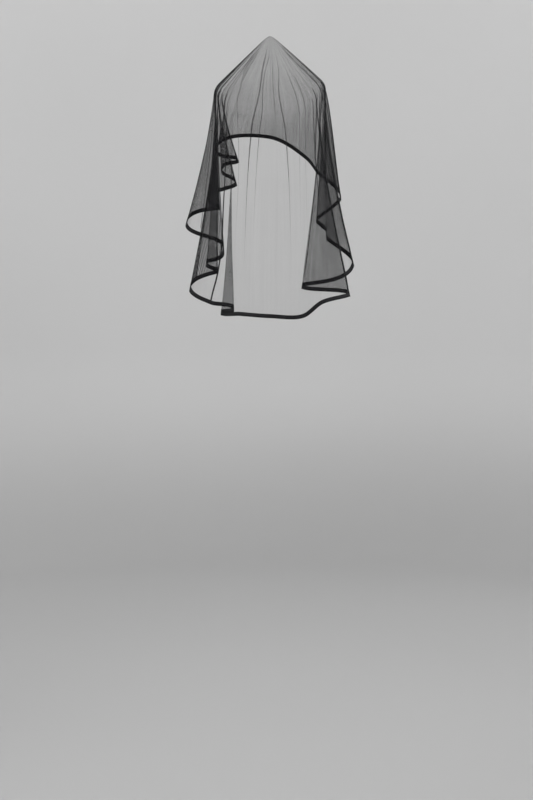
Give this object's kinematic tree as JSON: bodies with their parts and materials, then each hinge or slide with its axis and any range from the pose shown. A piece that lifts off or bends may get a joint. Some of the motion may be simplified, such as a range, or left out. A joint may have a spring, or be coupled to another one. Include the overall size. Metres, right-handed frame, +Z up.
{
  "type": "hip-length veil",
  "caption": "Hip-length single-tier veil of sheer tulle with a satin ribbon edge, hanging in soft side flutes from its crown point.",
  "frame": {"origin": "crown point, where the veil rests on or is pinned to the top of the head", "axes": "+Z up, +Y the way the wearer faces, so the long back of the veil hangs on the -Y side, and -X is the wearer's left"},
  "size_m": [0.5527, 0.3857, 0.8977],
  "materials": {
    "tulle": "sheer soft net",
    "satin_ribbon": "satin"
  },
  "bodies": {
    "root": {"tulle_veil": "tulle", "ribbon_edge": "satin_ribbon"}
  },
  "joints": []
}
